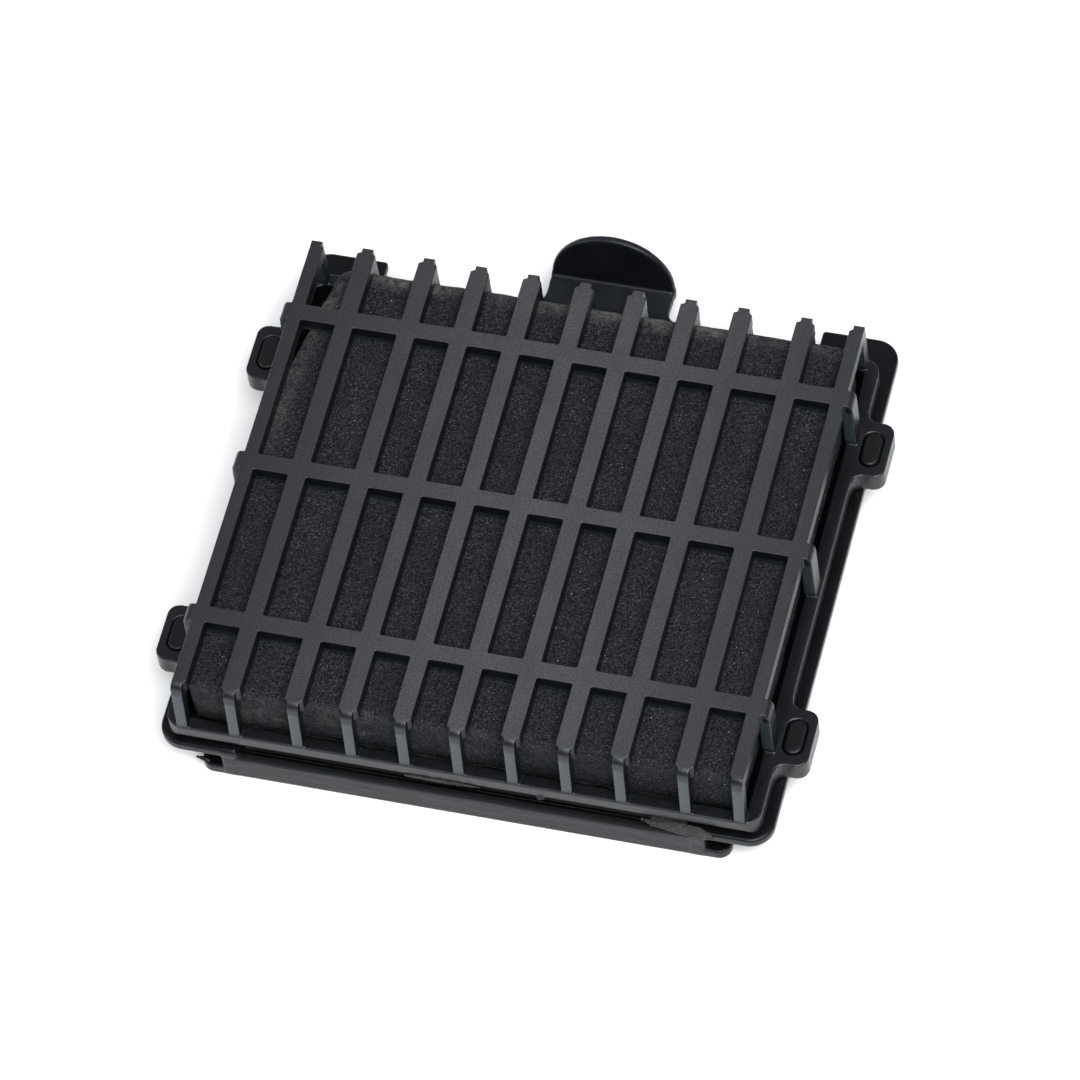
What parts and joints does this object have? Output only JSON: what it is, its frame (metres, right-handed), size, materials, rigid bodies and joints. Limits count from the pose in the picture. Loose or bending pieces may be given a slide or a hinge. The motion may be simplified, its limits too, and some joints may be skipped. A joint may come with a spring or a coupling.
{
  "type": "air filter housing",
  "caption": "Caged foam air filter on a moulded frame with a hook rail at the front, a finger tab at the back and eared sides pinned by oval pegs.",
  "frame": {"origin": "centre of the bounding box in plan, on the surface the part lies on", "axes": "+Z out of the grille, +Y from the hook rail towards the finger tab, +X to the right"},
  "size_m": [0.1174, 0.1128, 0.0241],
  "materials": {
    "cage_plastic": "moulded nylon, fine matte grain, glossier on the leg faces and edges",
    "frame_plastic": "moulded nylon, satin, slightly darker than the cage",
    "peg_plastic": "satin with a faint warm tint",
    "filter_foam": "open-cell foam with fine pores and grey dust on its edges",
    "filter_fleece": "thin matted felt",
    "seal_rubber": "soft matte foam rubber"
  },
  "bodies": {
    "frame": {"frame_plate": "frame_plastic", "hook_rail": "frame_plastic", "outlet_collar": "frame_plastic", "finger_tab": "frame_plastic", "rear_seal": "seal_rubber", "ear_peg_front_left": "peg_plastic", "ear_peg_front_right": "peg_plastic", "ear_peg_back_left": "peg_plastic", "ear_peg_back_right": "peg_plastic"},
    "cage": {"cage_grille": "cage_plastic", "cage_front": "cage_plastic", "cage_back": "cage_plastic", "cage_left": "cage_plastic", "cage_right": "cage_plastic"},
    "filter": {"foam_element": "filter_foam", "fleece_layer": "filter_fleece"}
  },
  "joints": [
    {"name": "cage_lift", "type": "slide", "parent": "frame", "child": "cage", "axis": [0, 0, 1], "range_m": [0, 0.04]},
    {"name": "foam_lift", "type": "slide", "parent": "frame", "child": "filter", "axis": [0, 0, 1], "range_m": [0, 0.02]}
  ],
  "couplings": [
    {"joint": "foam_lift", "follows": "cage_lift", "ratio": 0.5}
  ]
}
